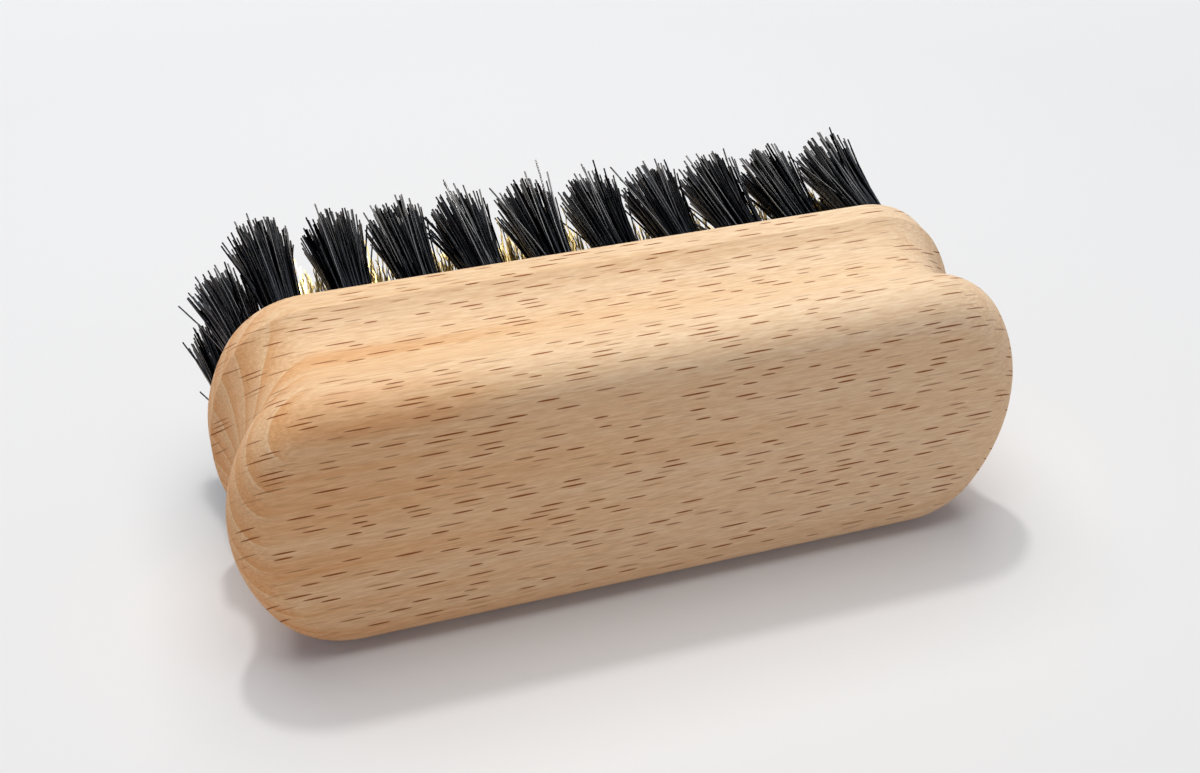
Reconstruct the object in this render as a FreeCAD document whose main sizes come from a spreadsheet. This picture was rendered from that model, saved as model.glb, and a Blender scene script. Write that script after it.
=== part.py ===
import FreeCAD, Part
import math
import os
import Sketcher
from FreeCAD import Vector

# Suede brush: a beech block with a finger cove all round, a border of black nylon tufts and two inner rows
# of brass wire tufts, each folded round a flat anchor in its own blind hole.
# X runs along the block, Y from its flat back to the bristle tips and Z up, with the brush lying on its
# long side. The origin is under the middle of the brush, on the surface that it lies on.

doc = FreeCAD.newDocument("suede_brush")

# Driving dimensions in millimetres, and counts

DIMENSIONS = {
    "block_length": (120, "block, end to end"),
    "block_width": (44, "block, side to side"),
    "block_height": (30, "block, flat back to bristle face"),
    "end_radius": (29.4, "large arc across each end of the outline"),
    "corner_radius": (13.8, "arc between an end and a long side"),
    "land_height": (4.8, "straight band of the side next to the bristle face"),
    "cove_depth": (3.3, "finger cove at its deepest, from the outline"),
    "back_radius": (6, "rounding from the sides into the flat back"),
    "face_edge_radius": (0.8, "softened edge of the bristle face"),
    "core_inset": (0.5, "side of the core inside the rounding of the back"),
    "rim_overlap": (1.5, "moulded rim into the core"),
    "hole_diameter": (6, "tuft hole"),
    "hole_depth": (7, "tuft hole, blind"),
    "side_margin": (6.5, "long side to the centre of the border tufts"),
    "corner_margin": (12.75, "block end to the centre of a border row's last tuft, without the shift"),
    "border_count": (10, "nylon tufts in each border row"),
    "row_shift": (1.3, "all tuft rows along the block, from its middle"),
    "end_margin": (9, "block end to the two outer end tufts"),
    "end_share": (0.53, "outer end tuft from the centre line, as a share of the border rows"),
    "end_middle_margin": (5.8, "block end to the middle end tuft"),
    "brass_margin": (17.2, "block end to the last brass tuft, without the shift"),
    "brass_share": (0.35, "brass row from the centre line, as a share of the border rows"),
    "brass_count": (9, "brass tufts in each inner row"),
    "nylon_length": (22, "nylon filaments beyond the bristle face"),
    "brass_length": (22.5, "brass wires beyond the bristle face"),
    "nylon_tip_radius": (4.2, "circle of the outer nylon strands at their tips"),
    "brass_tip_radius": (4, "circle of the outer brass strands at their tips"),
    "nylon_strand": (1.3, "nylon strand across its corners at the tip"),
    "brass_strand": (0.9, "brass strand across its corners at the tip"),
    "ragged": (1.6, "shortest strand of a tuft below the longest"),
    "end_lean": (1.5, "tips of an end tuft, outwards from over its hole"),
    "border_lean": (0.8, "tips of a border row, outwards from over its holes"),
    "tip_gap": (0.3, "least gap between the tips of neighbouring tufts"),
    "packing_gap": (0.05, "tuft to the wall of its hole"),
    "fold_thickness": (1.4, "folded filaments under an anchor"),
    "anchor_height": (2, "flat anchor, along the hole"),
    "anchor_thickness": (0.5, "flat anchor, sheet thickness"),
}

sizes = doc.addObject("Spreadsheet::Sheet", "Sizes")
for line, (alias, (value, meaning)) in enumerate(DIMENSIONS.items(), 1):
    sizes.set(f"A{line}", meaning)
    sizes.set(f"B{line}", str(value))
    sizes.setAlias(f"B{line}", alias)
doc.recompute()


def size(alias):
    return float(sizes.get(alias))


length = size("block_length")
half_width = size("block_width") / 2
height = size("block_height")
hole_radius = size("hole_diameter") / 2
hole_depth = size("hole_depth")

# The whole brush is centred on the origin in Y, and its lower long side lies at Z = 0
CENTRE_Y = "-(Sizes.block_height + max(Sizes.nylon_length; Sizes.brass_length)) / 2"
back_y = -(height + max(size("nylon_length"), size("brass_length"))) / 2
face_y = back_y + height


def origin_feature(body, role):
    return next(item for item in body.Origin.OriginFeatures if item.Role == role)


def new_sketch(body, role, name):
    sketch = body.newObject("Sketcher::SketchObject", name)
    sketch.AttachmentSupport = [(origin_feature(body, role), "")]
    sketch.MapMode = "FlatFace"
    return sketch


def line_between(start, end):
    return Part.LineSegment(Vector(*start, 0), Vector(*end, 0))


def arc_about(centre, radius, start_degrees, end_degrees):
    circle = Part.Circle(Vector(*centre, 0), Vector(0, 0, 1), radius)
    return Part.ArcOfCircle(circle, math.radians(start_degrees), math.radians(end_degrees))


def dimension(sketch, kind, references, expression, name):
    """Add a driving dimension to a sketch and bind it to the sheet."""
    value = sketch.evalExpression(expression)
    value = getattr(value, "Value", value)
    index = sketch.addConstraint(Sketcher.Constraint(kind, *references, value))
    sketch.renameConstraint(index, name)
    sketch.setExpression(f"Constraints.{name}", expression)


# Points of a sketch element, and the element numbers of a sketch's own axes
START, END, CENTRE = 1, 2, 3
ORIGIN = (-1, 1)
X_AXIS, Y_AXIS = -1, -2


def draw_outline(sketch, inset):
    """Draw the block's outline, shrunk by an inset: long sides, corner arcs and large end arcs.

    It starts at the middle of the upper long side, where the moulded section stands.
    """
    depth = sketch.evalExpression(inset)
    end_radius = size("end_radius") - depth
    corner_radius = size("corner_radius") - depth
    side = half_width - depth
    end_x = length / 2 - size("end_radius")
    corner_z = side - corner_radius
    corner_x = end_x + math.sqrt((end_radius - corner_radius) ** 2 - corner_z ** 2)
    turn = math.degrees(math.atan2(corner_z, corner_x - end_x))
    sketch.addGeometry([
        line_between((0, side), (corner_x, side)),
        arc_about((corner_x, corner_z), corner_radius, turn, 90),
        arc_about((end_x, 0), end_radius, -turn, turn),
        arc_about((corner_x, -corner_z), corner_radius, -90, -turn),
        line_between((corner_x, -side), (-corner_x, -side)),
        arc_about((-corner_x, -corner_z), corner_radius, 180 + turn, 270),
        arc_about((-end_x, 0), end_radius, 180 - turn, 180 + turn),
        arc_about((-corner_x, corner_z), corner_radius, 90, 180 - turn),
        line_between((-corner_x, side), (0, side)),
    ])
    upper_right, arc_ur, end_right, arc_lr, lower, arc_ll, end_left, arc_ul, upper_left = range(9)
    joints = [
        (upper_right, END, arc_ur, END),
        (arc_ur, START, end_right, END),
        (end_right, START, arc_lr, END),
        (arc_lr, START, lower, START),
        (lower, END, arc_ll, END),
        (arc_ll, START, end_left, END),
        (end_left, START, arc_ul, END),
        (arc_ul, START, upper_left, START),
    ]
    for joint in joints:
        sketch.addConstraint(Sketcher.Constraint("Tangent", *joint))
    sketch.addConstraint(Sketcher.Constraint("Coincident", upper_left, END, upper_right, START))
    sketch.addConstraint(Sketcher.Constraint("PointOnObject", upper_right, START, Y_AXIS))
    for straight in (upper_right, lower, upper_left):
        sketch.addConstraint(Sketcher.Constraint("Horizontal", straight))
    for corner in (arc_lr, arc_ll, arc_ul):
        sketch.addConstraint(Sketcher.Constraint("Equal", arc_ur, corner))
    sketch.addConstraint(Sketcher.Constraint("Equal", end_right, end_left))
    for end in (end_right, end_left):
        sketch.addConstraint(Sketcher.Constraint("PointOnObject", end, CENTRE, X_AXIS))
    end_centre = "Sizes.block_length / 2 - Sizes.end_radius"
    side_offset = f"Sizes.block_width / 2 - ({inset})"
    dimension(sketch, "Radius", (arc_ur,), f"Sizes.corner_radius - ({inset})", "corner_radius")
    dimension(sketch, "Radius", (end_right,), f"Sizes.end_radius - ({inset})", "end_radius")
    dimension(sketch, "DistanceX", (*ORIGIN, end_right, CENTRE), end_centre, "right_centre")
    dimension(sketch, "DistanceX", (end_left, CENTRE, *ORIGIN), end_centre, "left_centre")
    dimension(sketch, "DistanceY", (*ORIGIN, upper_right, START), side_offset, "upper_side")
    dimension(sketch, "DistanceY", (lower, START, *ORIGIN), side_offset, "lower_side")


def draw_moulding(sketch, depth):
    """Draw the moulded section of the block's side, from the bristle face over the cove to the back.

    The cove's arc starts at the land with a crisp edge and runs into the rounding of the back, and its
    lowest point lies at the cove's depth.
    """
    edge = size("face_edge_radius")
    land_end = height - size("land_height")
    cove = size("cove_depth")
    rounding = size("back_radius")
    reach = land_end - rounding
    rise = 2 * rounding * cove / reach
    land_side = (reach - rise) / 2
    back_side = (reach + rise) / 2
    cove_radius = (land_side ** 2 + cove ** 2) / (2 * cove)
    cove_y = land_end - land_side
    above = cove_radius - cove
    turn_out = math.degrees(math.atan2(above + rounding, back_side))
    rim_turn = math.degrees(math.atan2(-above, land_side))
    inner = half_width - sketch.evalExpression(depth)
    sketch.addGeometry([
        line_between((height, inner), (height, half_width - edge)),
        arc_about((height - edge, half_width - edge), edge, 0, 90),
        line_between((height - edge, half_width), (land_end, half_width)),
        arc_about((cove_y, half_width + above), cove_radius, 180 + turn_out, 360 + rim_turn),
        arc_about((rounding, half_width - rounding), rounding, turn_out, 180),
        line_between((0, half_width - rounding), (0, inner)),
        line_between((0, inner), (height, inner)),
    ])
    face, soft_edge, land, cove_arc, shoulder, back, core_side = range(7)
    lowest = sketch.addGeometry(Part.Point(Vector(cove_y, half_width - cove, 0)), True)
    for joint in [(face, END, soft_edge, START), (soft_edge, END, land, START),
                  (cove_arc, START, shoulder, START), (shoulder, END, back, START)]:
        sketch.addConstraint(Sketcher.Constraint("Tangent", *joint))
    for joint in [(land, END, cove_arc, END), (back, END, core_side, START), (core_side, END, face, START)]:
        sketch.addConstraint(Sketcher.Constraint("Coincident", *joint))
    for upright in (face, back):
        sketch.addConstraint(Sketcher.Constraint("Vertical", upright))
    for level in (land, core_side):
        sketch.addConstraint(Sketcher.Constraint("Horizontal", level))
    sketch.addConstraint(Sketcher.Constraint("PointOnObject", back, START, Y_AXIS))
    sketch.addConstraint(Sketcher.Constraint("PointOnObject", lowest, START, cove_arc))
    sketch.addConstraint(Sketcher.Constraint("Vertical", lowest, START, cove_arc, CENTRE))
    half = "Sizes.block_width / 2"
    dimension(sketch, "Radius", (soft_edge,), "Sizes.face_edge_radius", "face_edge")
    dimension(sketch, "Radius", (shoulder,), "Sizes.back_radius", "back_rounding")
    dimension(sketch, "DistanceX", (*ORIGIN, face, START), "Sizes.block_height", "face_height")
    dimension(sketch, "DistanceX", (*ORIGIN, land, END), "Sizes.block_height - Sizes.land_height", "land_end")
    dimension(sketch, "DistanceY", (*ORIGIN, land, START), half, "side")
    dimension(sketch, "DistanceY", (*ORIGIN, back, END), f"{half} - ({depth})", "inner_side")
    dimension(sketch, "DistanceY", (*ORIGIN, shoulder, CENTRE), f"{half} - Sizes.back_radius", "crest")
    dimension(sketch, "DistanceY", (*ORIGIN, lowest, START), f"{half} - Sizes.cove_depth", "cove_bottom")


def draw_hole(sketch, along, name):
    """Draw a hole circle, dimensioned from the middle of the bristle face along the block."""
    centre = Vector(sketch.evalExpression(along), 0, 0)
    hole = sketch.addGeometry(Part.Circle(centre, Vector(0, 0, 1), hole_radius))
    dimension(sketch, "Radius", (hole,), "Sizes.hole_diameter / 2", f"{name}_radius")
    dimension(sketch, "DistanceX", (*ORIGIN, hole, CENTRE), along, f"{name}_along")
    return hole


def draw_hole_pair(sketch, along, across):
    """Draw two hole circles, one on each side of the block's centre line."""
    upper = draw_hole(sketch, along, "upper")
    lower = draw_hole(sketch, along, "lower")
    offset = sketch.evalExpression(across)
    sketch.moveGeometry(upper, CENTRE, Vector(0, offset, 0), True)
    sketch.moveGeometry(lower, CENTRE, Vector(0, -offset, 0), True)
    dimension(sketch, "DistanceY", (*ORIGIN, upper, CENTRE), across, "upper_across")
    dimension(sketch, "DistanceY", (lower, CENTRE, *ORIGIN), across, "lower_across")


# Handle block: a core with a moulded rim swept round it, then the tuft holes

handle = doc.addObject("PartDesign::Body", "handle_block")
handle.setExpression("Placement.Base.y", CENTRE_Y)
handle.setExpression("Placement.Base.z", "Sizes.block_width / 2")

CORE_INSET = "Sizes.back_radius + Sizes.core_inset"
RIM_DEPTH = f"{CORE_INSET} + Sizes.rim_overlap"

core_outline = new_sketch(handle, "XZ_Plane", "core_outline")
draw_outline(core_outline, CORE_INSET)
core = handle.newObject("PartDesign::Pad", "core")
core.Profile = core_outline
core.Reversed = True
core.setExpression("Length", "Sizes.block_height")
doc.recompute()

rim_path = new_sketch(handle, "XZ_Plane", "rim_path")
draw_outline(rim_path, "0")
moulding = new_sketch(handle, "YZ_Plane", "moulding")
draw_moulding(moulding, RIM_DEPTH)
rim = handle.newObject("PartDesign::AdditivePipe", "moulded_rim")
rim.Profile = moulding
rim.Spine = (rim_path, [f"Edge{edge}" for edge in range(1, 10)])
doc.recompute()


def new_hole_sketch(name):
    sketch = new_sketch(handle, "XZ_Plane", name)
    sketch.setExpression("AttachmentOffset.Base.z", "-Sizes.block_height")
    return sketch


def drill(sketch, name):
    """Drill the holes of a sketch into the bristle face."""
    before = handle.Shape.Volume
    holes = handle.newObject("PartDesign::Pocket", name)
    holes.Profile = sketch
    holes.Reversed = True
    holes.setExpression("Length", "Sizes.hole_depth")
    doc.recompute()
    if handle.Shape.Volume >= before:
        raise RuntimeError(f"{name} cuts nothing")
    return holes


def repeat_along_block(holes, margin, count, name):
    """Repeat drilled holes along the block, over its length less the margin at both ends."""
    row = handle.newObject("PartDesign::LinearPattern", name)
    row.Originals = [holes]
    row.Direction = (origin_feature(handle, "X_Axis"), [""])
    row.Reversed = True
    row.setExpression("Length", f"Sizes.block_length - 2 * Sizes.{margin}")
    row.setExpression("Occurrences", f"Sizes.{count}")
    handle.Tip = row
    doc.recompute()


BORDER_ACROSS = "(Sizes.block_width / 2 - Sizes.side_margin)"

border_places = new_hole_sketch("border_places")
draw_hole_pair(border_places, "Sizes.block_length / 2 - Sizes.corner_margin + Sizes.row_shift",
               BORDER_ACROSS)
border_holes = drill(border_places, "border_holes")
repeat_along_block(border_holes, "corner_margin", "border_count", "border_rows")

brass_places = new_hole_sketch("brass_places")
draw_hole_pair(brass_places, "Sizes.block_length / 2 - Sizes.brass_margin + Sizes.row_shift",
               f"Sizes.brass_share * {BORDER_ACROSS}")
brass_holes = drill(brass_places, "brass_holes")
repeat_along_block(brass_holes, "brass_margin", "brass_count", "brass_rows")

end_places = new_hole_sketch("end_places")
draw_hole_pair(end_places, "Sizes.block_length / 2 - Sizes.end_margin",
               f"Sizes.end_share * {BORDER_ACROSS}")
middle = draw_hole(end_places, "Sizes.block_length / 2 - Sizes.end_middle_margin", "middle")
end_places.addConstraint(Sketcher.Constraint("PointOnObject", middle, CENTRE, X_AXIS))
end_holes = drill(end_places, "end_holes")
both_ends = handle.newObject("PartDesign::Mirrored", "both_ends")
both_ends.Originals = [end_holes]
both_ends.MirrorPlane = (origin_feature(handle, "YZ_Plane"), [""])
handle.Tip = both_ends
doc.recompute()

# Places of the tufts on the bristle face, from its middle: along the block and across it

border_across = half_width - size("side_margin")
end_across = border_across * size("end_share")
brass_across = border_across * size("brass_share")
tuft_places = {}


def add_row(name, count, margin, across):
    """Name and place the tufts of a straight row, with its margin at both ends and then the shift."""
    half_span = length / 2 - size(margin)
    for number in range(count):
        along = half_span * (2 * number / (count - 1) - 1) + size("row_shift")
        tuft_places[f"{name}_{number + 1}"] = (along, across)


def add_end(name, side):
    """Name and place the three tufts that close the border at one end of the block."""
    outer = side * (length / 2 - size("end_margin"))
    middle = side * (length / 2 - size("end_middle_margin"))
    for number, place in enumerate([(outer, end_across), (middle, 0), (outer, -end_across)], 1):
        tuft_places[f"{name}_{number}"] = place


add_row("nylon_tuft_top", int(size("border_count")), "corner_margin", border_across)
add_row("nylon_tuft_bottom", int(size("border_count")), "corner_margin", -border_across)
add_end("nylon_tuft_left", -1)
add_end("nylon_tuft_right", 1)
add_row("brass_tuft_upper", int(size("brass_count")), "brass_margin", brass_across)
add_row("brass_tuft_lower", int(size("brass_count")), "brass_margin", -brass_across)


def tip_lean(name):
    """How far the tips of a tuft stand from over its hole: those of the border lean outwards."""
    side = name.split("_")[2]
    leans = {
        "left": (-size("end_lean"), 0),
        "right": (size("end_lean"), 0),
        "top": (0, size("border_lean")),
        "bottom": (0, -size("border_lean")),
    }
    return leans.get(side, (0, 0))


tip_places = {}
for name, (along, across) in tuft_places.items():
    lean_along, lean_across = tip_lean(name)
    tip_places[name] = (along + lean_along, across + lean_across)


def free_radius(name):
    """Half the way from a tuft's tips to the nearest neighbour's, less half of their gap."""
    here = tip_places[name]
    nearest = min(math.dist(here, there) for other, there in tip_places.items() if other != name)
    return (nearest - size("tip_gap")) / 2


# Tufts: a bundle packed into its hole and folded round an anchor, which opens into strands with ragged ends

# Rings of strands as shares of the tuft's radius, with the strands in each
STRAND_RINGS = [(0, 1), (0.45, 3), (1, 7)]
STRAND_CORNERS = 4
# Shares of the stem's radius: a strand at its foot, and all the feet together
FOOT_SHARE = 0.42
BUNDLE_SHARE = 0.9
# Feet below the mouth of the hole
ROOT_DEPTH = 1
# Even spacing that never repeats, for the turn of each tuft and the length of each strand
GOLDEN_TURN = math.pi * (3 - math.sqrt(5))
GOLDEN_SHARE = (math.sqrt(5) - 1) / 2


def strand(foot, foot_radius, tip, tip_radius, turn):
    """A four-cornered strand that tapers from its foot to its tip, both cut square to the hole."""
    corners = []
    for corner in range(STRAND_CORNERS):
        angle = turn - 2 * math.pi * corner / STRAND_CORNERS
        outward = Vector(math.cos(angle), 0, math.sin(angle))
        corners.append((foot + outward * foot_radius, tip + outward * tip_radius))
    rings = [[low for low, high in reversed(corners)], [high for low, high in corners]]
    for (low, high), (next_low, next_high) in zip(corners, corners[1:] + corners[:1]):
        rings.append([low, next_low, next_high, high])
    faces = [Part.Face(Part.makePolygon(ring + ring[:1])) for ring in rings]
    return Part.Solid(Part.Shell(faces))


def anchor():
    """The flat anchor of a tuft whose hole has its mouth at the origin, wedged across the hole."""
    thickness = size("anchor_thickness")
    width = 2 * math.sqrt(hole_radius ** 2 - (thickness / 2) ** 2)
    corner = Vector(-width / 2, size("fold_thickness") - hole_depth, -thickness / 2)
    return Part.makeBox(width, size("anchor_height"), thickness, corner)


def tuft(name, number):
    """One tuft whose hole has its mouth at the origin."""
    kind = name.split("_")[0]
    stem_radius = hole_radius - size("packing_gap")
    foot_radius = stem_radius * FOOT_SHARE
    foot_ring = stem_radius * BUNDLE_SHARE - foot_radius
    tip_radius = size(f"{kind}_strand") / 2
    tip_ring = min(size(f"{kind}_tip_radius"), free_radius(name) - tip_radius)
    lean_along, lean_across = tip_lean(name)
    lean = Vector(lean_along, 0, lean_across)
    stem = Part.makeCylinder(stem_radius, hole_depth, Vector(0, -hole_depth, 0), Vector(0, 1, 0))
    strands = []
    for ring, count in STRAND_RINGS:
        for index in range(count):
            turn = 2 * math.pi * index / count + number * GOLDEN_TURN
            outward = Vector(math.cos(turn), 0, math.sin(turn)) * ring
            cut_short = size("ragged") * (len(strands) * GOLDEN_SHARE % 1)
            foot = outward * foot_ring - Vector(0, ROOT_DEPTH, 0)
            tip = outward * tip_ring + lean + Vector(0, size(f"{kind}_length") - cut_short, 0)
            strands.append(strand(foot, foot_radius, tip, tip_radius, turn))
    return stem.fuse(strands).cut(anchor())


def add_piece(name, shape):
    piece = doc.addObject("Part::Feature", name)
    piece.Label = name
    piece.Shape = shape
    return piece


def mouth_placement(name):
    along, across = tuft_places[name]
    return FreeCAD.Placement(Vector(along, face_y, half_width + across), FreeCAD.Rotation())


pieces = [handle]
for number, name in enumerate(tuft_places):
    piece = add_piece(name, tuft(name, number))
    piece.Placement = mouth_placement(name)
    pieces.append(piece)

seated_anchors = []
for name in tuft_places:
    seated = anchor()
    seated.Placement = mouth_placement(name)
    seated_anchors.append(seated)
anchors = add_piece("tuft_anchors", Part.makeCompound(seated_anchors))
pieces.append(anchors)

# Every feature has to be sound before the pieces are written

doc.recompute()
for item in doc.Objects:
    if "Invalid" in item.State or "Error" in item.State:
        raise RuntimeError(f"{item.Label} failed: {item.State}")
for piece in pieces:
    if piece.Shape.isNull() or not piece.Shape.isValid():
        raise RuntimeError(f"{piece.Label} has no sound shape")
    solids = len(tuft_places) if piece is anchors else 1
    if len(piece.Shape.Solids) != solids:
        raise RuntimeError(f"{piece.Label} has {len(piece.Shape.Solids)} solids")

os.makedirs("parts", exist_ok=True)
for piece in pieces:
    piece.Shape.exportStep(f"parts/{piece.Label}.step")
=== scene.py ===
import math

import bpy
import numpy as np
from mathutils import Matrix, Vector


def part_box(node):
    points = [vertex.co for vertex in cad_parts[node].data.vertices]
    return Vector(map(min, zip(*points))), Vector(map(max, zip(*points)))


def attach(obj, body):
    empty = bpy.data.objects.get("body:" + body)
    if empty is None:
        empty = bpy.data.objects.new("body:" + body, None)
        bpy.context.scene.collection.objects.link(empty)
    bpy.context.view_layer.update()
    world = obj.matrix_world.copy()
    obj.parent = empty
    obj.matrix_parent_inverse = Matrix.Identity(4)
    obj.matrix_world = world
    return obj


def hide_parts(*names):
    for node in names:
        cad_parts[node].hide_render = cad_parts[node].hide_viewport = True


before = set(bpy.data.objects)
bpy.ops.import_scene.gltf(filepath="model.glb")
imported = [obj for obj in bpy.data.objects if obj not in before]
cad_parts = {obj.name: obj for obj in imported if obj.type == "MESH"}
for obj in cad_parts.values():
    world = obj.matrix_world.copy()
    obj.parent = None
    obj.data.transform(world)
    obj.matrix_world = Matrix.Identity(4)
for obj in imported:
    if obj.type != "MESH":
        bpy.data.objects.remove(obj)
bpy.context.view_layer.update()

bl_info = {
    "name": "Suede brush",
    "version": (1, 0, 0),
    "blender": (4, 5, 0),
    "location": "View3D > Sidebar > Suede brush",
    "description": "Dresses a suede brush in beech, nylon and brass, and sets it on a plain stage",
    "category": "Object",
}

# The brush lies on its long side: X along the block, +Y from the flat back to the tips, Z up
FACE_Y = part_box("handle_block")[1].y
MM = 0.001

# Sockets of the Mix node, which has one set for numbers and one for colours
NUMBER_A, NUMBER_B, NUMBER_OUT = 2, 3, 0
COLOUR_A, COLOUR_B, COLOUR_OUT = 6, 7, 2

# A noise lies between 0 and 1, most of it within the second range
WHOLE_RANGE = (0, 1)
NOISE_RANGE = (0.3, 0.7)


def linear(colour):
    """An sRGB hex colour as linear red, green and blue."""
    shares = [int(colour[index:index + 2], 16) / 255 for index in (0, 2, 4)]
    return tuple(s / 12.92 if s <= 0.04045 else ((s + 0.055) / 1.055) ** 2.4 for s in shares)


def opaque(colour):
    return (*colour, 1)


class BeechSettings(bpy.types.PropertyGroup):
    pale: bpy.props.FloatVectorProperty(
        name="Pale wood", description="Early wood, in a line at the start of a growth layer",
        subtype="COLOR", size=3, min=0, max=1, default=linear("FBDBB4"))
    tan: bpy.props.FloatVectorProperty(
        name="Tan wood", description="Usual wood of each growth layer",
        subtype="COLOR", size=3, min=0, max=1, default=linear("F5CD9F"))
    amber: bpy.props.FloatVectorProperty(
        name="Amber wood", description="Late wood, beside the pale line that starts a growth layer",
        subtype="COLOR", size=3, min=0, max=1, default=linear("EBB179"))
    fleck: bpy.props.FloatVectorProperty(
        name="Ray fleck", description="Cut ends of the wood rays",
        subtype="COLOR", size=3, min=0, max=1, default=linear("944C0C"))
    layer_pitch: bpy.props.FloatProperty(
        name="Layer pitch", description="From one growth layer to the next",
        unit="LENGTH", default=3.2 * MM)
    layer_tilt: bpy.props.FloatProperty(
        name="Layer tilt", description="Growth layers against the flat back, about the grain",
        unit="ROTATION", default=math.radians(45))
    fleck_length: bpy.props.FloatProperty(
        name="Fleck spacing along", description="From one ray fleck to the next along the grain",
        unit="LENGTH", default=7.5 * MM)
    fleck_width: bpy.props.FloatProperty(
        name="Fleck spacing across", description="From one ray fleck to the next across the grain",
        unit="LENGTH", default=0.65 * MM)


class NylonSettings(bpy.types.PropertyGroup):
    colour: bpy.props.FloatVectorProperty(
        name="Nylon", description="Dyed black filaments",
        subtype="COLOR", size=3, min=0, max=1, default=linear("030304"))
    filaments: bpy.props.IntProperty(
        name="Filaments", description="Filaments in one tuft", min=1, default=270)
    diameter: bpy.props.FloatProperty(
        name="Filament", description="Diameter of one filament",
        unit="LENGTH", default=0.28 * MM)
    reach: bpy.props.FloatProperty(
        name="Reach", description="Filaments beyond the bristle face",
        unit="LENGTH", default=23.4 * MM)
    ragged: bpy.props.FloatProperty(
        name="Ragged ends", description="Usual difference in reach",
        unit="LENGTH", default=0.45 * MM)
    spread: bpy.props.FloatProperty(
        name="Spread", description="Radius of a tuft at its tips",
        unit="LENGTH", default=4.6 * MM)


class BrassSettings(bpy.types.PropertyGroup):
    colour: bpy.props.FloatVectorProperty(
        name="Brass", description="Drawn brass wire",
        subtype="COLOR", size=3, min=0, max=1, default=linear("EFD38C"))
    filaments: bpy.props.IntProperty(
        name="Wires", description="Wires in one tuft", min=1, default=180)
    diameter: bpy.props.FloatProperty(
        name="Wire", description="Diameter of one wire",
        unit="LENGTH", default=0.22 * MM)
    reach: bpy.props.FloatProperty(
        name="Reach", description="Wires beyond the bristle face",
        unit="LENGTH", default=23 * MM)
    ragged: bpy.props.FloatProperty(
        name="Ragged ends", description="Usual difference in reach",
        unit="LENGTH", default=0.4 * MM)
    spread: bpy.props.FloatProperty(
        name="Spread", description="Radius of a tuft at its tips",
        unit="LENGTH", default=5.2 * MM)
    crimp: bpy.props.FloatProperty(
        name="Crimp", description="Height of the waves in a wire",
        unit="LENGTH", default=0.22 * MM)
    wave: bpy.props.FloatProperty(
        name="Wave", description="Length of one wave in a wire",
        unit="LENGTH", default=4.5 * MM)


class StageSettings(bpy.types.PropertyGroup):
    floor: bpy.props.FloatVectorProperty(
        name="Floor", description="Plain pale floor",
        subtype="COLOR", size=3, min=0, max=1, default=linear("EDEEEF"))
    softbox_power: bpy.props.FloatProperty(
        name="Softbox", description="Large soft light above and behind the brush",
        unit="POWER", default=7.4)
    lamp_power: bpy.props.FloatProperty(
        name="Lamp", description="Small lamp above and behind the brush",
        unit="POWER", default=1.15)
    ambient: bpy.props.FloatProperty(
        name="Ambient", description="Light from the walls all round", min=0, default=1.15)


class SuedeBrushSettings(bpy.types.PropertyGroup):
    beech: bpy.props.PointerProperty(type=BeechSettings)
    nylon: bpy.props.PointerProperty(type=NylonSettings)
    brass: bpy.props.PointerProperty(type=BrassSettings)
    stage: bpy.props.PointerProperty(type=StageSettings)


def set_inputs(tree, node, inputs):
    """Set or link a node's inputs, by name or number."""
    for name, value in inputs.items():
        if isinstance(value, bpy.types.NodeSocket):
            tree.links.new(value, node.inputs[name])
        else:
            node.inputs[name].default_value = value


def add_node(tree, kind, settings=None, inputs=None):
    """Add a node with its settings and inputs."""
    node = tree.nodes.new(kind)
    for name, value in (settings or {}).items():
        setattr(node, name, value)
    set_inputs(tree, node, inputs or {})
    return node


def calculate(tree, operation, *values):
    """Result of one operation on numbers."""
    node = add_node(tree, "ShaderNodeMath", {"operation": operation}, dict(enumerate(values)))
    return node.outputs[0]


def calculate_vector(tree, operation, *vectors):
    """Outputs of one operation on vectors: the vector and the value."""
    node = add_node(
        tree, "ShaderNodeVectorMath", {"operation": operation}, dict(enumerate(vectors)))
    return node.outputs


def remap(tree, value, source, target, interpolation="LINEAR"):
    """A value brought from one range to another, and kept within it."""
    node = add_node(tree, "ShaderNodeMapRange", {"interpolation_type": interpolation}, {
        "Value": value, "From Min": source[0], "From Max": source[1],
        "To Min": target[0], "To Max": target[1]})
    return node.outputs[0]


def mix_colours(tree, share, first, second, blend="MIX"):
    """Two colours mixed or multiplied, by the share of the second."""
    node = add_node(tree, "ShaderNodeMix", {"data_type": "RGBA", "blend_type": blend}, {
        "Factor": share, COLOUR_A: first, COLOUR_B: second})
    return node.outputs[COLOUR_OUT]


def mix_numbers(tree, share, first, second):
    """Two numbers mixed, by the share of the second."""
    node = add_node(tree, "ShaderNodeMix", {"data_type": "FLOAT"}, {
        "Factor": share, NUMBER_A: first, NUMBER_B: second})
    return node.outputs[NUMBER_OUT]


def noise(tree, place, sizes, offset=(0, 0, 0), **inputs):
    """Noise drawn out to its own size along each axis."""
    stretched = add_node(tree, "ShaderNodeMapping", {}, {
        "Vector": place, "Location": offset, "Scale": tuple(1 / size for size in sizes)})
    node = add_node(tree, "ShaderNodeTexNoise", {}, {
        "Vector": stretched.outputs[0], "Scale": 1, **inputs})
    return node.outputs["Fac"]


def colour_ramp(tree, value, stops):
    """A value as a colour, by stops that start at 0 and end at 1."""
    node = add_node(tree, "ShaderNodeValToRGB", {}, {0: value})
    elements = node.color_ramp.elements
    elements[0].color = opaque(stops[0][1])
    elements[1].color = opaque(stops[-1][1])
    for position, colour in stops[1:-1]:
        elements.new(position).color = opaque(colour)
    return node.outputs["Color"]


def new_material(name):
    """A node material with its shader, ready for its pattern."""
    material = bpy.data.materials.new(name)
    material.use_nodes = True
    return material, material.node_tree, material.node_tree.nodes["Principled BSDF"]


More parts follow.
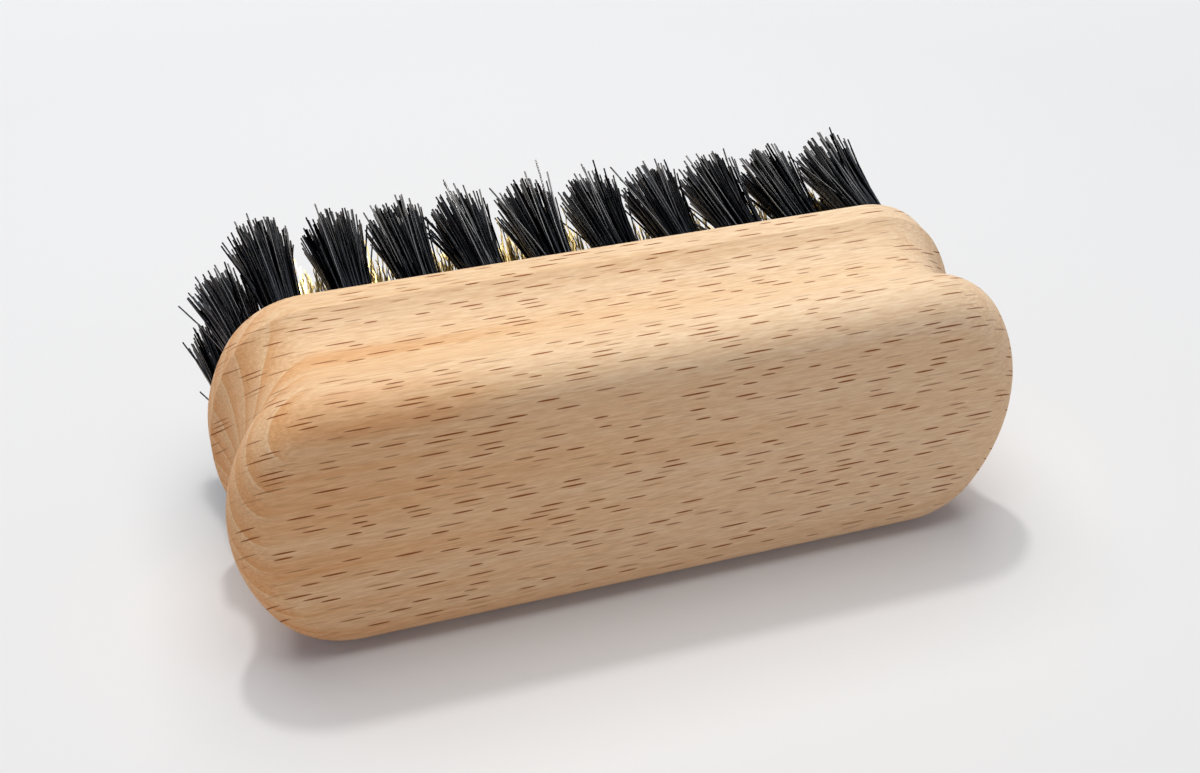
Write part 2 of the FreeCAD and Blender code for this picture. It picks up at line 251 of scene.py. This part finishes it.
# Patterns in the wood, in millimetres along the grain, along the growth layers and through them
WAVER_SIZE = (90, 25, 9)
WAVER_HEIGHT = 3.0
BAND_SIZE = (160, 9, 4)
PORE_SIZE = (3, 0.3, 0.3)
# Places in the noise and in the layers that put amber wood about where the photo has it
BAND_OFFSET = (25.3, 11.8, 14.8)
LAYER_OFFSET = 0.7
# Tones across a growth layer: a pale line, then amber that pales towards the next layer
LAYER_STOPS = ((0, 1), (0.07, 1), (0.12, 0), (0.5, 0.45), (1, 0.75))
TAN_TONE = 0.45
PALER_PER_MM = 0.007
# What pores and the wood between them make of its colour: pores are redder
PORE_COLOUR = (0.85, 0.79, 0.73)
BETWEEN_PORES_COLOUR = (1.03, 1.09, 1.15)
# A golden patch on the upper rim of the back, near the darker end: partly amber wood, partly
# painted light where the rim turns up to the lamps
AMBER_AND_RIM_LIGHT_MIDDLE = (-37 * MM, -24.7 * MM, 42 * MM)
AMBER_AND_RIM_LIGHT_REACH = (24 * MM, 6 * MM, 5 * MM)
AMBER_AND_RIM_LIGHT_TONE = -0.3
# Flecks, as shares of their places in a row: the middle, half the length and half the width
FLECK_MIDDLES = (0.4, 0.6)
FLECK_HALF_LENGTHS = (0.18, 0.42)
FLECK_HALF_WIDTH = 0.2
# A place with a depth under 0 has no fleck
FLECK_DEPTHS = (-0.6, 1.5)


def wood_tone(tree, settings, place, grain, end_on):
    """Tone of the wood, from amber at 0 to pale at 1, with painted rim light as a golden patch."""
    axes = add_node(tree, "ShaderNodeSeparateXYZ", {}, {0: grain}).outputs
    waver = noise(tree, grain, WAVER_SIZE, Detail=1)
    wavering = calculate(tree, "MULTIPLY_ADD", waver, WAVER_HEIGHT, axes["Z"])
    layer = calculate(
        tree, "MULTIPLY_ADD", wavering, MM / settings.layer_pitch, LAYER_OFFSET)
    across_layer = calculate(tree, "FRACT", layer)
    layer_tone = colour_ramp(
        tree, across_layer, [(position, (tone, tone, tone)) for position, tone in LAYER_STOPS])
    bands = noise(tree, grain, BAND_SIZE, BAND_OFFSET, Detail=3, Roughness=0.6)
    band_tone = remap(tree, bands, NOISE_RANGE, (0.35, 1.0))
    # Layers show most where the ends cut across them
    layer_share = remap(tree, end_on, (0.1, 0.6), (0.08, 0.65))
    figure = mix_numbers(tree, layer_share, band_tone, layer_tone)
    # The tone grows paler towards +X, a little each millimetre
    tone = calculate(tree, "MULTIPLY_ADD", axes["X"], PALER_PER_MM, figure)
    # Golden patch on the back's upper rim: amber wood, with the rim's light painted in
    from_rim_light = add_node(tree, "ShaderNodeMapping", {"vector_type": "TEXTURE"}, {
        "Vector": place, "Location": AMBER_AND_RIM_LIGHT_MIDDLE, "Scale": AMBER_AND_RIM_LIGHT_REACH})
    distance = calculate_vector(tree, "LENGTH", from_rim_light.outputs[0])["Value"]
    amber_and_rim_light = remap(tree, distance, (0.4, 1.0), (AMBER_AND_RIM_LIGHT_TONE, 0.0), "SMOOTHSTEP")
    return calculate(tree, "ADD", tone, amber_and_rim_light)


def ray_flecks(tree, settings, grain, end_on, broad_on):
    """Share of fleck at each place.

    Rays are thin upright ribbons. Their cut ends show as short dark dashes, in staggered rows
    along the grain.
    """
    axes = add_node(tree, "ShaderNodeSeparateXYZ", {}, {0: grain}).outputs
    row = calculate(tree, "MULTIPLY", axes["Y"], MM / settings.fleck_width)
    row_number = calculate(tree, "FLOOR", row)
    row_start = add_node(tree, "ShaderNodeTexWhiteNoise", {"noise_dimensions": "1D"}, {
        "W": row_number}).outputs["Value"]
    along = calculate(tree, "MULTIPLY_ADD", axes["X"], MM / settings.fleck_length, row_start)
    along_number = calculate(tree, "FLOOR", along)
    number = add_node(tree, "ShaderNodeCombineXYZ", {}, {
        0: along_number, 1: row_number}).outputs[0]
    chance = add_node(tree, "ShaderNodeTexWhiteNoise", {"noise_dimensions": "2D"}, {
        "Vector": number}).outputs["Color"]
    chances = add_node(tree, "ShaderNodeSeparateColor", {}, {0: chance}).outputs
    in_rows = add_node(tree, "ShaderNodeCombineXYZ", {}, {0: along, 1: row}).outputs[0]
    from_corner = calculate_vector(tree, "SUBTRACT", in_rows, number)[0]
    middle = remap(tree, chances[2], WHOLE_RANGE, FLECK_MIDDLES)
    from_middle = calculate_vector(tree, "SUBTRACT", from_corner, middle)[0]
    half_length = remap(tree, chances[0], WHOLE_RANGE, FLECK_HALF_LENGTHS)
    half_size = add_node(tree, "ShaderNodeCombineXYZ", {}, {
        0: half_length, 1: FLECK_HALF_WIDTH, 2: 1.0}).outputs[0]
    shares = calculate_vector(tree, "DIVIDE", from_middle, half_size)[0]
    share = calculate_vector(tree, "LENGTH", shares)["Value"]
    depth = remap(tree, chances[1], WHOLE_RANGE, FLECK_DEPTHS)
    # They fade where a face cuts the rays lengthways, at the ends and along the ribbons
    lengthways = calculate(tree, "MAXIMUM", end_on, broad_on)
    fade = remap(tree, lengthways, (0.75, 0.95), (1.0, 0.15))
    faded_depth = calculate(tree, "MULTIPLY", depth, fade)
    return remap(tree, share, (1.0, 0.75), (0.0, faded_depth), "SMOOTHSTEP")


def sanded_beech(settings):
    """Beech, sanded and left bare: silky and pale, with tan bands and short dark ray flecks."""
    material, tree, shader = new_material("sanded_beech")
    coordinates = add_node(tree, "ShaderNodeTexCoord").outputs
    place = coordinates["Object"]
    tilt = (-settings.layer_tilt, 0, 0)
    # Millimetres with X along the grain, Y along the growth layers and Z through them
    grain = add_node(tree, "ShaderNodeMapping", {}, {
        "Vector": place, "Rotation": tilt, "Scale": (1 / MM, 1 / MM, 1 / MM)}).outputs[0]
    turned = add_node(tree, "ShaderNodeMapping", {"vector_type": "VECTOR"}, {
        "Vector": coordinates["Normal"], "Rotation": tilt}).outputs[0]
    facing = add_node(tree, "ShaderNodeSeparateXYZ", {}, {0: turned}).outputs
    end_on = calculate(tree, "ABSOLUTE", facing["X"])
    broad_on = calculate(tree, "ABSOLUTE", facing["Y"])
    wood = colour_ramp(tree, wood_tone(tree, settings, place, grain, end_on), [
        (0, settings.amber), (TAN_TONE, settings.tan), (1, settings.pale)])
    pores = noise(tree, grain, PORE_SIZE, Detail=2, Roughness=0.6)
    pore_tint = mix_colours(
        tree, remap(tree, pores, NOISE_RANGE, WHOLE_RANGE),
        opaque(PORE_COLOUR), opaque(BETWEEN_PORES_COLOUR))
    pored = mix_colours(tree, 1.0, wood, pore_tint, "MULTIPLY")
    flecks = ray_flecks(tree, settings, grain, end_on, broad_on)
    sunk = calculate(tree, "MULTIPLY_ADD", flecks, -0.2, pores)
    bump = add_node(tree, "ShaderNodeBump", {}, {
        "Height": sunk, "Strength": 0.25, "Distance": 0.05 * MM})
    set_inputs(tree, shader, {
        "Base Color": mix_colours(tree, flecks, pored, opaque(settings.fleck)),
        "Normal": bump.outputs[0], "Roughness": 0.5, "IOR": 1.5, "Specular IOR Level": 0.3})
    return material


def drawn_nylon(settings):
    """Nylon, dyed black and drawn through a die: dark, with a thin bright line along filaments."""
    material, tree, shader = new_material("drawn_black_nylon")
    place = add_node(tree, "ShaderNodeTexCoord").outputs["Object"]
    streaks = noise(tree, place, (0.4 * MM, 6 * MM, 0.4 * MM))
    shade = remap(tree, streaks, NOISE_RANGE, (0.5, 1.6))
    gloss = remap(tree, streaks, NOISE_RANGE, (0.1, 0.22))
    # Some filaments shine along their whole length and others hardly do
    filament = add_node(tree, "ShaderNodeNewGeometry").outputs["Random Per Island"]
    sheen = remap(tree, filament, (0.15, 0.9), (0.0, 1.0))
    set_inputs(tree, shader, {
        "Base Color": mix_colours(tree, 1.0, opaque(settings.colour), shade, "MULTIPLY"),
        "Roughness": gloss, "IOR": 1.8, "Specular IOR Level": sheen})
    return material


def crimped_brass(settings):
    """Brass wire, drawn and crimped: a warm yellow metal with small glints along its waves."""
    material, tree, shader = new_material("crimped_brass_wire")
    place = add_node(tree, "ShaderNodeTexCoord").outputs["Object"]
    tarnish = noise(tree, place, (0.8 * MM, 3 * MM, 0.8 * MM))
    shade = remap(tree, tarnish, NOISE_RANGE, (0.7, 1.0))
    set_inputs(tree, shader, {
        "Base Color": mix_colours(tree, 1.0, opaque(settings.colour), shade, "MULTIPLY"),
        "Metallic": 1, "Roughness": 0.3})
    return material


STEEL_COLOUR = linear("B9BABC")


def rolled_steel():
    """Flat steel wire, rolled and cut: grey, with fine lines along its length."""
    material, tree, shader = new_material("rolled_flat_steel_wire")
    place = add_node(tree, "ShaderNodeTexCoord").outputs["Object"]
    lines = noise(tree, place, (4 * MM, 0.1 * MM, 0.1 * MM))
    shade = remap(tree, lines, WHOLE_RANGE, (0.85, 1.0))
    set_inputs(tree, shader, {
        "Base Color": mix_colours(tree, 1.0, opaque(STEEL_COLOUR), shade, "MULTIPLY"),
        "Metallic": 1, "Roughness": 0.35})
    return material


def dress_node(name, material):
    """Give a CAD node its material."""
    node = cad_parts[name]
    for slot in node.material_slots:
        slot.material = material


def filament_pattern(sides, steps):
    """Corners and faces of one straight filament with a radius and length of one, along Z."""
    bpy.ops.object.select_all(action="DESELECT")
    bpy.ops.mesh.primitive_cylinder_add(vertices=sides, radius=1, depth=1, location=(0, 0, 0.5))
    bpy.ops.object.transform_apply(location=True, rotation=True, scale=True)
    bpy.ops.object.mode_set(mode="EDIT")
    for step in range(1, steps):
        bpy.ops.mesh.select_all(action="SELECT")
        bpy.ops.mesh.bisect(plane_co=(0, 0, step / steps), plane_no=(0, 0, 1))
    bpy.ops.object.mode_set(mode="OBJECT")
    pattern = bpy.context.object
    mesh = pattern.data
    corners = np.array([vertex.co[:] for vertex in mesh.vertices])
    faces = [tuple(face.vertices) for face in mesh.polygons]
    bpy.data.objects.remove(pattern)
    bpy.data.meshes.remove(mesh)
    return corners, faces


FOOT_HEIGHT = 0.01 * MM


def stem_centre(node):
    """Middle of a CAD tuft's foot, at the bottom of its hole."""
    low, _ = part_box(node)
    corners = np.array([vertex.co[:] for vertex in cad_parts[node].data.vertices])
    foot = corners[corners[:, 1] < low.y + FOOT_HEIGHT]
    return (foot.min(0) + foot.max(0)) / 2


GOLDEN_TURN = math.pi * (3 - math.sqrt(5))
STEM_RADIUS = 2.5 * MM
ROOT_DEPTH = 2.5 * MM
FLOOR_GAP = 0.5 * MM
# How far tips wander, and strays besides, as shares of the spread
TIP_WANDER = 0.13
STRAY_CHANCE = 0.12
STRAY_WANDER = 0.35
# Filaments at the rim of a tuft end lower, a few are broken off and none stands out by more
RIM_DROP = 0.4 * MM
BROKEN_CHANCE = 0.05
BROKEN_DROPS_MM = (1, 4)
MOST_OVER_REACH = 1.2 * MM
# Place of the bend between hole and tip
KNEE_SHARES = (0.1, 0.32)


def tuft_paths(settings, centre, lean, levels, random):
    """Centre lines of a tuft's filaments: packed side by side in the hole, then fanning out."""
    count = settings.filaments
    order = np.arange(count) + 0.5
    share = np.sqrt(order / count)
    turn = order * GOLDEN_TURN + random.uniform(0, 2 * math.pi)
    packed = np.stack([share * np.cos(turn), share * np.sin(turn)], 1)
    foot = packed * STEM_RADIUS
    wander = random.normal(0, TIP_WANDER, (count, 2))
    stray = random.random((count, 1)) < STRAY_CHANCE
    wander += np.where(stray, random.normal(0, STRAY_WANDER, (count, 2)), 0)
    tip = (packed + wander) * settings.spread + lean
    tip[:, 1] = np.maximum(tip[:, 1], FLOOR_GAP - centre[2])
    reach = settings.reach + random.normal(0, settings.ragged, count)
    reach -= share ** 2 * RIM_DROP
    broken = random.random(count) < BROKEN_CHANCE
    reach = np.where(broken, reach - random.uniform(*BROKEN_DROPS_MM, count) * MM, reach)
    reach = np.minimum(reach, settings.reach + MOST_OVER_REACH)
    # Filaments leave the hole nearly straight and bend outwards on the way
    knee = foot + (tip - foot) * random.uniform(*KNEE_SHARES, (count, 1))
    paths = np.zeros((count, len(levels), 3))
    for index, level in enumerate(levels):
        sideways = (1 - level) ** 2 * foot + 2 * level * (1 - level) * knee + level ** 2 * tip
        paths[:, index, 0] = centre[0] + sideways[:, 0]
        paths[:, index, 1] = FACE_Y - ROOT_DEPTH + level * (reach + ROOT_DEPTH)
        paths[:, index, 2] = centre[2] + sideways[:, 1]
    return paths


SMOOTH_ANGLE = math.radians(80)


def bundle(name, pattern, levels, paths, radius):
    """One mesh of many filaments, each a copy of the pattern laid along its own centre line."""
    corners, faces = pattern
    ring = np.array([np.argmin(np.abs(levels - height)) for height in corners[:, 2]])
    # A filament's section lies level, so X and Y of the pattern are X and Z of the brush
    section = np.stack([corners[:, 0], np.zeros(len(corners)), -corners[:, 1]], 1) * radius
    places = paths[:, ring, :] + section[None]
    offsets = np.arange(len(paths)) * len(corners)
    all_faces = [
        tuple(corner + offset for corner in face) for offset in offsets for face in faces]
    mesh = bpy.data.meshes.new(name)
    mesh.from_pydata(places.reshape(-1, 3), [], all_faces)
    piece = bpy.data.objects.new(name, mesh)
    bpy.context.scene.collection.objects.link(piece)
    bpy.ops.object.select_all(action="DESELECT")
    piece.select_set(True)
    bpy.context.view_layer.objects.active = piece
    bpy.ops.object.shade_smooth_by_angle(angle=SMOOTH_ANGLE)
    return piece


def set_in_block(piece, node, material):
    """Let a bundle stand for the strands of its CAD tuft."""
    piece.data.materials.append(material)
    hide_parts(node)
    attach(piece, "root")


class BRUSH_OT_finish_block(bpy.types.Operator):
    """Give the block its sanded beech"""
    bl_idname = "suede_brush.finish_block"
    bl_label = "Finish block"

    def execute(self, context):
        dress_node("handle_block", sanded_beech(context.scene.suede_brush.beech))
        return {"FINISHED"}


class BRUSH_OT_finish_anchors(bpy.types.Operator):
    """Give the anchors in the tuft holes their steel"""
    bl_idname = "suede_brush.finish_anchors"
    bl_label = "Finish anchors"

    def execute(self, context):
        dress_node("tuft_anchors", rolled_steel())
        return {"FINISHED"}


NYLON_SIDES = 5
NYLON_STEPS = 4
NYLON_FIRST_SEED = 11
# Tips that lean away from over their holes, along the block and upwards, in millimetres
NYLON_LEAN_DIFFERENCE = 0.25
NYLON_ROW_LEANS = {"top": (0, 2.0), "bottom": (0, -0.6)}
NYLON_LEANS = {
    "nylon_tuft_top_1": (-1.6, 2.0),
    "nylon_tuft_top_2": (-0.4, 2.0),
    "nylon_tuft_top_3": (-1.2, 2.0),
    "nylon_tuft_top_4": (-1.2, 2.0),
    "nylon_tuft_top_5": (-0.8, 2.0),
    "nylon_tuft_top_10": (0.3, 2.2),
    "nylon_tuft_left_1": (-3.2, 1.4),
    "nylon_tuft_left_2": (-1.0, 1.5),
    "nylon_tuft_left_3": (-1.2, 0.8),
    "nylon_tuft_right_1": (0.6, 0.8),
    "nylon_tuft_right_2": (0.8, 0),
    "nylon_tuft_right_3": (0.8, -0.6),
}


class BRUSH_OT_set_nylon(bpy.types.Operator):
    """Set the border of black nylon tufts"""
    bl_idname = "suede_brush.set_nylon"
    bl_label = "Set nylon tufts"

    def execute(self, context):
        settings = context.scene.suede_brush.nylon
        material = drawn_nylon(settings)
        levels = np.linspace(0, 1, NYLON_STEPS + 1)
        pattern = filament_pattern(NYLON_SIDES, NYLON_STEPS)
        nodes = sorted(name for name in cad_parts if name.startswith("nylon"))
        for seed, node in enumerate(nodes, NYLON_FIRST_SEED):
            random = np.random.default_rng(seed)
            difference = random.normal(0, NYLON_LEAN_DIFFERENCE, 2)
            row_lean = NYLON_ROW_LEANS.get(node.split("_")[2])
            lean = (np.array(NYLON_LEANS.get(node, row_lean)) + difference) * MM
            paths = tuft_paths(settings, stem_centre(node), lean, levels, random)
            piece = bundle(f"filaments_{node}", pattern, levels, paths, settings.diameter / 2)
            set_in_block(piece, node, material)
        return {"FINISHED"}


BRASS_SIDES = 3
BRASS_STEPS = 16
BRASS_FIRST_SEED = 101
# Tips that lean upwards from over their holes, in millimetres
BRASS_LEAN_DIFFERENCE = 0.3
BRASS_ROW_LEANS = {"upper": (0, 2.6), "lower": (0, -0.6)}


class BRUSH_OT_set_brass(bpy.types.Operator):
    """Set the two inner rows of brass wire tufts"""
    bl_idname = "suede_brush.set_brass"
    bl_label = "Set brass tufts"

    def execute(self, context):
        settings = context.scene.suede_brush.brass
        material = crimped_brass(settings)
        levels = np.linspace(0, 1, BRASS_STEPS + 1)
        pattern = filament_pattern(BRASS_SIDES, BRASS_STEPS)
        nodes = sorted(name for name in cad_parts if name.startswith("brass"))
        for seed, node in enumerate(nodes, BRASS_FIRST_SEED):
            random = np.random.default_rng(seed)
            difference = random.normal(0, BRASS_LEAN_DIFFERENCE, 2)
            lean = (np.array(BRASS_ROW_LEANS[node.split("_")[2]]) + difference) * MM
            paths = tuft_paths(settings, stem_centre(node), lean, levels, random)
            heading = random.uniform(0, 2 * math.pi, (settings.filaments, 1))
            phase = random.uniform(0, 2 * math.pi, (settings.filaments, 1))
            waves = paths[:, :, 1] / settings.wave
            swing = settings.crimp * np.sin(2 * math.pi * waves + phase)
            paths[:, :, 0] += swing * np.cos(heading)
            paths[:, :, 2] += swing * np.sin(heading)
            piece = bundle(f"wires_{node}", pattern, levels, paths, settings.diameter / 2)
            set_in_block(piece, node, material)
        return {"FINISHED"}


FLOOR_SIZE = 6
# Colour of the light that the floor throws back at the brush
FLOOR_BOUNCE = linear("D8C4B0")
# Distances from the brush over which the floor starts to glow, and the glow there
GLOW_DISTANCES = (0.2, 1.5)
GLOW_STRENGTHS = (0.0, 0.8)
LAMP_COLOUR = linear("FFFCF8")
SOFTBOX_PLACE, SOFTBOX_SIZE = (0, 0.13, 0.9), 0.9
LAMP_PLACE, LAMP_SIZE = (0, 0.2, 0.7), 0.055
WALL_COLOUR = linear("D9E6FC")
# The camera that was fitted to the outline of the block in the photo
CAMERA_PLACE = (-0.0608, -0.19195, 0.1633)
CAMERA_DOWN = math.radians(35.32)
CAMERA_TURN = math.radians(-17.58)
CAMERA_LENS = 47.06
CAMERA_SENSOR = 36
CAMERA_NEAR = 0.01


def painted_floor(settings):
    """Pale paint that to the eye runs on into a pale wall, as bright far off as near by."""
    material, tree, shader = new_material("painted_floor")
    seen = add_node(tree, "ShaderNodeLightPath").outputs["Is Camera Ray"]
    place = add_node(tree, "ShaderNodeTexCoord").outputs["Object"]
    distance = calculate_vector(tree, "LENGTH", place)["Value"]
    glow = remap(tree, distance, GLOW_DISTANCES, GLOW_STRENGTHS)
    set_inputs(tree, shader, {
        "Base Color": mix_colours(tree, seen, opaque(FLOOR_BOUNCE), opaque(settings.floor)),
        "Roughness": 0.7, "Specular IOR Level": 0.2,
        "Emission Color": opaque(settings.floor),
        "Emission Strength": calculate(tree, "MULTIPLY", glow, seen)})
    return material


def add_area_light(name, shape, size, power, place):
    """An area light behind and above the brush, turned to face it."""
    bpy.ops.object.light_add(type="AREA", location=place)
    light = bpy.context.object
    light.name = name
    light.data.shape = shape
    light.data.size = size
    light.data.color = LAMP_COLOUR
    light.data.energy = power
    light.rotation_euler = (-math.atan2(place[1], place[2]), 0, 0)


def studio_world(settings):
    """Pale walls all round under a dark ceiling, which to the eye are as pale as the floor."""
    world = bpy.data.worlds.new("studio")
    world.use_nodes = True
    tree = world.node_tree
    direction = add_node(tree, "ShaderNodeTexCoord").outputs["Generated"]
    heading = add_node(tree, "ShaderNodeSeparateXYZ", {}, {0: direction}).outputs
    below_top = remap(tree, heading["Z"], WHOLE_RANGE, (1.0, 0.0))
    walls = calculate(tree, "POWER", below_top, 2.0)
    strength = calculate(tree, "MULTIPLY", walls, settings.ambient)
    seen = add_node(tree, "ShaderNodeLightPath").outputs["Is Camera Ray"]
    set_inputs(tree, tree.nodes["Background"], {
        "Color": mix_colours(tree, seen, opaque(WALL_COLOUR), opaque(settings.floor)),
        "Strength": mix_numbers(tree, seen, strength, 1.0)})
    return world


class BRUSH_OT_set_stage(bpy.types.Operator):
    """Set the floor, the lights and the camera"""
    bl_idname = "suede_brush.set_stage"
    bl_label = "Set stage"

    def execute(self, context):
        scene = context.scene
        settings = scene.suede_brush.stage
        bpy.ops.object.select_all(action="DESELECT")
        bpy.ops.mesh.primitive_plane_add(size=FLOOR_SIZE, location=(0, 0, 0))
        floor = context.object
        floor.name = "floor"
        floor.data.materials.append(painted_floor(settings))
        add_area_light("softbox", "SQUARE", SOFTBOX_SIZE, settings.softbox_power, SOFTBOX_PLACE)
        add_area_light("lamp", "DISK", LAMP_SIZE, settings.lamp_power, LAMP_PLACE)
        scene.world = studio_world(settings)
        bpy.ops.object.camera_add(location=CAMERA_PLACE)
        camera = context.object
        camera.rotation_euler = (math.pi / 2 - CAMERA_DOWN, 0, CAMERA_TURN)
        camera.data.sensor_width = CAMERA_SENSOR
        camera.data.lens = CAMERA_LENS
        camera.data.clip_start = CAMERA_NEAR
        scene.camera = camera
        scene.view_settings.view_transform = "Standard"
        return {"FINISHED"}


class BRUSH_PT_panel(bpy.types.Panel):
    """Lists the steps that dress the brush"""
    bl_idname = "BRUSH_PT_panel"
    bl_label = "Suede brush"
    bl_space_type = "VIEW_3D"
    bl_region_type = "UI"
    bl_category = "Suede brush"

    def draw(self, context):
        for step in STEPS:
            self.layout.operator(step.bl_idname)


STEPS = (BRUSH_OT_finish_block, BRUSH_OT_finish_anchors, BRUSH_OT_set_nylon, BRUSH_OT_set_brass,
         BRUSH_OT_set_stage)
CLASSES = (BeechSettings, NylonSettings, BrassSettings, StageSettings, SuedeBrushSettings,
           *STEPS, BRUSH_PT_panel)


def register():
    for item in CLASSES:
        bpy.utils.register_class(item)
    bpy.types.Scene.suede_brush = bpy.props.PointerProperty(type=SuedeBrushSettings)


def unregister():
    del bpy.types.Scene.suede_brush
    for item in reversed(CLASSES):
        bpy.utils.unregister_class(item)


def main():
    register()
    bpy.ops.suede_brush.finish_block()
    bpy.ops.suede_brush.finish_anchors()
    bpy.ops.suede_brush.set_nylon()
    bpy.ops.suede_brush.set_brass()
    bpy.ops.suede_brush.set_stage()


if __name__ == "__main__":
    main()
